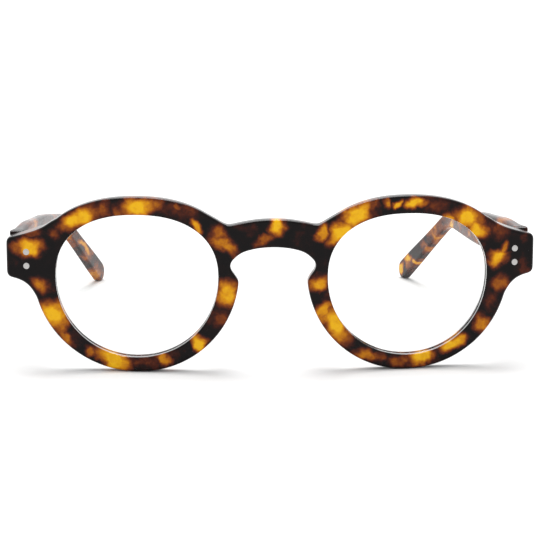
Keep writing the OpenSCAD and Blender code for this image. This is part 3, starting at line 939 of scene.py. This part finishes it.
# Two domed rivet ends show on the leaf.
RZ = PIN[2] + 0.5
for zz in (-1, 1):
    dome = lathe([(0.62, -0.3), (0.62, 0.05), (0.5, 0.14), (0.25, 0.19), (0.0, 0.2)], 32)
    dome = moved(dome, lambda v, zz=zz: np.c_[1.7 - v[:, 2], 6.6 + v[:, 0], RZ + zz * RIVET_GAP / 2 + v[:, 1]])
    th.merge(dome)

sc = Shell()
sc.merge(lathe([(0.0, -3.2), (0.58, -3.2), (0.7, -3.08), (0.7, 3.05), (0.0, 3.05)], 40))
sc.merge(lathe([(0.0, 2.98), (1.2, 2.98), (1.25, 3.04), (1.25, 3.3), (0.0, 3.3)], 48))
for q in (-1, 1):
    a0 = math.degrees(math.asin(0.16 / 1.25))
    arcp = arc((0, 0), 1.25, a0, 180 - a0, 22)
    if q < 0:
        arcp = [(-x, -y) for x, y in arcp]
    sc.merge(extrude(arcp, 3.22, 3.55, 0.07))
sc = turned(sc, Matrix.Rotation(R(28), 3, "Z"), PIN)


def front_rivet(zz):
    s = lathe([(0.0, -1.2), (0.85, -1.2), (0.85, -0.02), (0.80, 0.03), (0.62, 0.05), (0.3, 0.06), (0.0, 0.06)], 40)
    x = RIVET_X
    a = math.asin(x / WRAP)
    n = Vector((math.sin(a), -math.cos(a), 0))
    q = n.to_track_quat("Z", "Y").to_matrix()
    p = (x, float(front_y(np.array([x]), 0)[0]), PIN[2] + zz * RIVET_GAP / 2)
    return turned(s, q, p)


fr = Shell()
for zz in (-1, 1):
    fr.merge(front_rivet(zz))
    # The far end of the shank, on the hinge plate.
    dome = lathe([(0.6, -0.4), (0.6, 0.0), (0.45, 0.03), (0.0, 0.04)], 32)
    dome = moved(dome, lambda v, zz=zz: np.c_[RIVET_X + v[:, 0], END_BACK + 0.08 + v[:, 2], PIN[2] + zz * RIVET_GAP / 2 - v[:, 1]])
    fr.merge(dome)
tr = Shell()
for zz in (-1, 1):
    s = lathe([(0.0, -1.0), (0.85, -1.0), (0.85, -0.02), (0.80, 0.03), (0.62, 0.05), (0.3, 0.06), (0.0, 0.06)], 40)
    tr.merge(moved(s, lambda v, zz=zz: np.c_[MID_X + 1.8 - 0.02 + v[:, 2], 6.6 + v[:, 0], RZ + zz * RIVET_GAP / 2 + v[:, 1]]))

for side, word in ((-1, "left"), (1, "right")):
    for shell, name, mat, node, slot, body in (
            (fh, "hinge_front_", mat_nickel, "front_hinge_", "hinge_nickel", "front"),
            (th, "hinge_leaf_", mat_nickel, "temple_hinge_", "hinge_nickel", "temple_" + word),
            (sc, "pin_screw_", mat_screw, "hinge_screw_", "screw_steel", "front"),
            (fr, "rivets_front_", mat_rivet, "front_rivets_", "rivet_nickel", "front"),
            (tr, "rivets_temple_", mat_rivet, "temple_rivets_", "rivet_nickel", "temple_" + word)):
        if body != "front":
            shell = moved(shell, on_pin)
        o = shell.make(name + word, mat, side, custom=False)
        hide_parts(node + word)
        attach(o, body)
    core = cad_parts["temple_core_" + word]
    core.data.materials.clear()
    core.data.materials.append(mat_core)

# ------------------------------------------------------------------ floor, light and camera
me = bpy.data.meshes.new("floor")
me.from_pydata([(-15, -15, 0), (15, -15, 0), (15, 15, 0), (-15, 15, 0)], [], [(0, 1, 2, 3)])
floor = bpy.data.objects.new("floor", me)
bpy.context.scene.collection.objects.link(floor)
fm, nt, out = new_mat("floor_white")
d = nt.nodes.new("ShaderNodeBsdfDiffuse")
d.inputs["Color"].default_value = (0.77, 0.77, 0.77, 1)
nt.links.new(d.outputs[0], out.inputs["Surface"])
me.materials.append(fm)

world = bpy.data.worlds.new("studio")
bpy.context.scene.world = world
world.use_nodes = True
bg = world.node_tree.nodes["Background"]
bg.inputs["Color"].default_value = (1, 1, 1, 1)
bg.inputs["Strength"].default_value = 1.0

sun = bpy.data.lights.new("overhead", "SUN")
sun.energy = 2.4
sun.angle = R(36)
so = bpy.data.objects.new("overhead", sun)
so.rotation_euler = (R(-14), 0, 0)
bpy.context.scene.collection.objects.link(so)

cam = bpy.data.cameras.new("camera")
cam.sensor_width = 36.0
cam.lens = 113.976
cam.clip_start = 0.01
cam.clip_end = 100
co = bpy.data.objects.new("camera", cam)
bpy.context.scene.collection.objects.link(co)
D, PSI, H, YAW, PITCH, ROLL = 440.137, 0.051, 102.400, -0.001989, 0.168908, -0.000015
a, p = PSI + YAW, PITCH
fw = Vector((math.sin(a) * math.cos(p), math.cos(a) * math.cos(p), -math.sin(p)))
rt = Vector((math.cos(a), -math.sin(a), 0))
up = rt.cross(fw)
cr, sr = math.cos(ROLL), math.sin(ROLL)
rt2, up2 = cr * rt + sr * up, -sr * rt + cr * up
m3 = Matrix((rt2, up2, -fw)).transposed()
co.matrix_world = Matrix.Translation(Vector((-D * math.sin(PSI), -D * math.cos(PSI) + Y0, H)) * 0.001) @ m3.to_4x4()
bpy.context.scene.camera = co
bpy.context.scene.view_settings.view_transform = "Standard"
bpy.context.scene.view_settings.look = "None"
